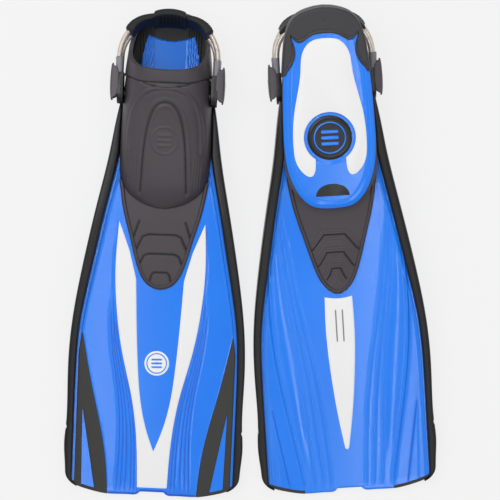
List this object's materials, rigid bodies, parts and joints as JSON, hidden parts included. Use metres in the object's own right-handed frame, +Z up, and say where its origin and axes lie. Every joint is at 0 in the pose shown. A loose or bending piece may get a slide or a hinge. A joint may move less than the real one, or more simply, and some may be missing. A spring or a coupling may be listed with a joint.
{
  "type": "swim fins",
  "caption": "Pair of open-heel scuba swim fins with spring heel straps, quick-release buckles, rubber foot pockets and ribbed channelled blades, one lying sole up.",
  "frame": {"origin": "centre of the pair's bounding box, on the floor the two fins lie on", "axes": "+Y towards the heels (longest extent), +Z up, +X from the sole-down left fin to the sole-up right fin"},
  "size_m": [0.4707, 0.619, 0.1074],
  "materials": {
    "blue_plastic": "gloss",
    "white_plastic": "gloss",
    "panel_rubber": "matte",
    "pocket_rubber": "matte",
    "rail_rubber": "satin",
    "badge_black": "satin",
    "strap_rubber": "satin",
    "black_plastic": "satin",
    "grey_plastic": "satin",
    "button_plastic": "satin",
    "spring_steel": "bright"
  },
  "bodies": {
    "left_fin": {"left_blade": "blue_plastic", "left_top_stripe": "white_plastic", "left_keel_stripe": "white_plastic", "left_flex_panel": "panel_rubber", "left_foot_pocket": "pocket_rubber", "left_sole_plate": "blue_plastic", "left_sole_pad": "white_plastic", "left_sole_badge": "badge_black", "left_toe_grip": "panel_rubber", "left_heel_cup": "pocket_rubber", "left_rail_r": "rail_rubber", "left_rail_l": "rail_rubber", "left_tip_channel_r": "rail_rubber", "left_tip_channel_l": "rail_rubber", "left_buckle_post_r": "black_plastic", "left_buckle_post_l": "black_plastic"},
    "left_buckles": {"left_buckle_body_r": "black_plastic", "left_buckle_body_l": "black_plastic", "left_buckle_cap_r": "grey_plastic", "left_buckle_cap_l": "grey_plastic", "left_button_spring_r": "spring_steel", "left_button_spring_l": "spring_steel", "left_strap_springs_r": "spring_steel", "left_strap_springs_l": "spring_steel"},
    "left_strap": {"left_heel_pad": "strap_rubber", "left_strap_end_r": "black_plastic", "left_strap_end_l": "black_plastic"},
    "left_button_r": {"left_release_button_r": "button_plastic"},
    "left_button_l": {"left_release_button_l": "button_plastic"},
    "right_fin": {"right_blade": "blue_plastic", "right_top_stripe": "white_plastic", "right_keel_stripe": "white_plastic", "right_flex_panel": "panel_rubber", "right_foot_pocket": "pocket_rubber", "right_sole_plate": "blue_plastic", "right_sole_pad": "white_plastic", "right_sole_badge": "badge_black", "right_toe_grip": "panel_rubber", "right_heel_cup": "pocket_rubber", "right_rail_r": "rail_rubber", "right_rail_l": "rail_rubber", "right_tip_channel_r": "rail_rubber", "right_tip_channel_l": "rail_rubber", "right_buckle_post_r": "black_plastic", "right_buckle_post_l": "black_plastic"},
    "right_buckles": {"right_buckle_body_r": "black_plastic", "right_buckle_body_l": "black_plastic", "right_buckle_cap_r": "grey_plastic", "right_buckle_cap_l": "grey_plastic", "right_button_spring_r": "spring_steel", "right_button_spring_l": "spring_steel", "right_strap_springs_r": "spring_steel", "right_strap_springs_l": "spring_steel"},
    "right_strap": {"right_heel_pad": "strap_rubber", "right_strap_end_r": "black_plastic", "right_strap_end_l": "black_plastic"},
    "right_button_r": {"right_release_button_r": "button_plastic"},
    "right_button_l": {"right_release_button_l": "button_plastic"}
  },
  "joints": [
    {"name": "left_strap_swing", "type": "hinge", "parent": "left_fin", "child": "left_buckles", "pos_m": [-0.10314, 0.19477, 0.05076], "axis": [0.999, -0.0436, 0], "range_deg": [-4, 75]},
    {"name": "left_strap_stretch", "type": "slide", "parent": "left_buckles", "child": "left_strap", "axis": [0.0436, 0.9988, 0.02], "range_m": [0, 0.04], "stiffness_N_per_m": 1000, "deforming": ["left_strap_springs_r", "left_strap_springs_l"]},
    {"name": "left_button_press_r", "type": "slide", "parent": "left_buckles", "child": "left_button_r", "axis": [-0.999, 0.0436, 0], "range_m": [0, 0.002], "stiffness_N_per_m": 1500, "deforming": ["left_button_spring_r"]},
    {"name": "left_button_press_l", "type": "slide", "parent": "left_buckles", "child": "left_button_l", "axis": [0.999, -0.0436, 0], "range_m": [0, 0.002], "stiffness_N_per_m": 1500, "deforming": ["left_button_spring_l"]},
    {"name": "right_strap_swing", "type": "hinge", "parent": "right_fin", "child": "right_buckles", "pos_m": [0.0938, 0.20077, 0.04104], "axis": [-0.998, -0.0628, 0], "range_deg": [-4, 75]},
    {"name": "right_strap_stretch", "type": "slide", "parent": "right_buckles", "child": "right_strap", "axis": [-0.0622, 0.9891, 0.1331], "range_m": [0, 0.04], "stiffness_N_per_m": 1000, "deforming": ["right_strap_springs_r", "right_strap_springs_l"]},
    {"name": "right_button_press_r", "type": "slide", "parent": "right_buckles", "child": "right_button_r", "axis": [0.998, 0.0628, 0], "range_m": [0, 0.002], "stiffness_N_per_m": 1500, "deforming": ["right_button_spring_r"]},
    {"name": "right_button_press_l", "type": "slide", "parent": "right_buckles", "child": "right_button_l", "axis": [-0.998, -0.0628, 0], "range_m": [0, 0.002], "stiffness_N_per_m": 1500, "deforming": ["right_button_spring_l"]},
    {"name": "right_fin_lift", "type": "slide", "parent": "left_fin", "child": "right_fin", "axis": [0, 0, 1], "range_m": [0, 0.3]}
  ]
}
